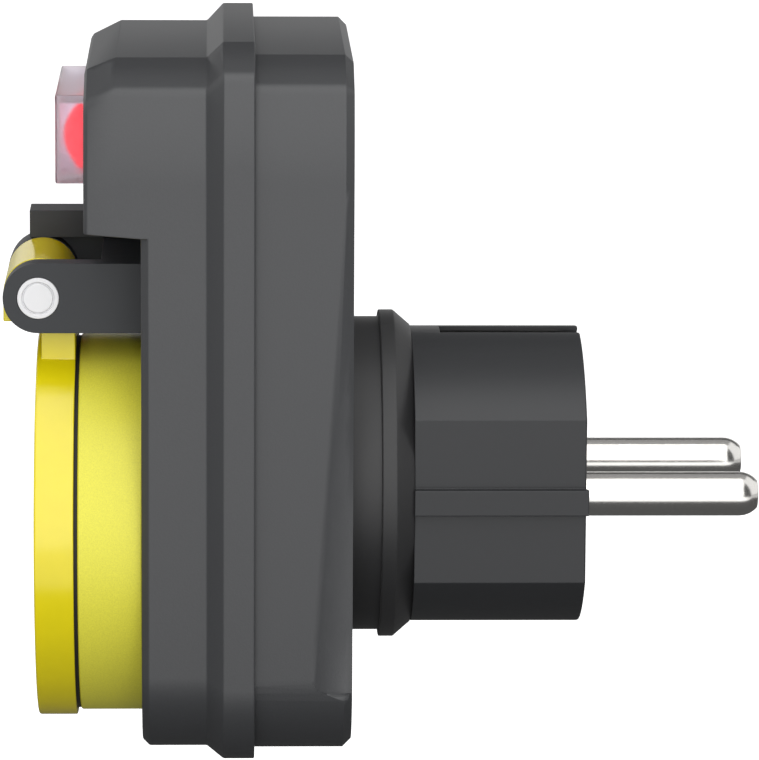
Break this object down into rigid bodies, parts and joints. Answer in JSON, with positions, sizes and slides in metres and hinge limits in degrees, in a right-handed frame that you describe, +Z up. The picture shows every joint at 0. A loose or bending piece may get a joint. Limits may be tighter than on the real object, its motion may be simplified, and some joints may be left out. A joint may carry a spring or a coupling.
{
  "type": "switched plug adapter",
  "caption": "Splash-proof plug-in adapter with a hooded lit rocker switch above a round socket under a spring-closed hinged lid, for a recessed round wall socket.",
  "frame": {"origin": "middle of the plug's engagement face, the flat end of the plug body that the pins stand on", "axes": "+Y into the wall along the pins, +Z up towards the switch, +X along the hinge pin; the lid and the switch face -Y"},
  "size_m": [0.05, 0.0817, 0.078],
  "materials": {
    "casing_plastic": "dark grey, very fine grain",
    "bracket_plastic": "anthracite, fine grain",
    "plug_plastic": "dark grey, smooth",
    "collar_rubber": "soft, matte",
    "seal_rubber": "black",
    "screw_steel": "zinc plated",
    "hinge_pin_plastic": "white, smooth",
    "spring_steel": "drawn wire",
    "pin_nickel": "polished nickel plate on brass",
    "contact_nickel": "nickel plate on brass strip",
    "brass": "bare brass strip",
    "socket_plastic": "yellow, fine grain",
    "lid_plastic": "yellow, glossy",
    "switch_hood": "soft, clear, frosted",
    "switch_plastic": "black",
    "rocker_plastic": "translucent red",
    "lamp_glass": "clear neon lamp",
    "resistor_body": "lacquered"
  },
  "bodies": {
    "housing": {"front_shell": "casing_plastic", "rear_shell": "casing_plastic", "hinge_bracket": "bracket_plastic", "plug_insert": "plug_plastic", "sealing_collar": "collar_rubber", "shell_seal": "seal_rubber", "socket_seal": "seal_rubber", "casing_screws": "screw_steel", "bracket_screws": "screw_steel", "centre_screw": "screw_steel", "hinge_pin": "hinge_pin_plastic", "lid_spring": "spring_steel", "live_pin": "pin_nickel", "neutral_pin": "pin_nickel", "plug_earth_strap": "contact_nickel", "socket_earth_clips": "contact_nickel", "earth_stud": "contact_nickel", "live_contact_sleeve": "brass", "neutral_contact_sleeve": "brass", "live_out_bar": "brass", "neutral_bar": "brass", "live_feed_bar": "brass", "neutral_link": "brass", "common_terminal": "brass", "load_terminal": "brass", "lamp_terminal": "brass", "socket_insert": "socket_plastic", "contact_base": "socket_plastic", "switch_cap": "switch_hood", "switch_body": "switch_plastic", "indicator_lamp": "lamp_glass", "lamp_resistor": "resistor_body"},
    "lid": {"lid": "lid_plastic", "lid_gasket": "seal_rubber"},
    "rocker": {"rocker": "rocker_plastic", "plunger": "switch_plastic", "plunger_spring": "spring_steel"},
    "contact_blade": {"contact_blade": "brass"}
  },
  "joints": [
    {"name": "lid_hinge", "type": "hinge", "parent": "housing", "child": "lid", "pos_m": [0, -0.05888, 0.0214], "axis": [-1, 0, 0], "range_deg": [0, 160], "stiffness_Nm_per_rad": 0.012, "springref_deg": -68.75, "deforming": ["lid_spring"]},
    {"name": "rocker_rock", "type": "hinge", "parent": "housing", "child": "rocker", "pos_m": [0, -0.0472, 0.03875], "axis": [0, 0, 1], "range_deg": [0, 16]},
    {"name": "blade_rock", "type": "hinge", "parent": "housing", "child": "contact_blade", "pos_m": [0, -0.0392, 0.03875], "axis": [0, 0, 1], "range_deg": [-20, 0]}
  ],
  "couplings": [
    {"joint": "blade_rock", "follows": "rocker_rock", "ratio": -1.25}
  ]
}
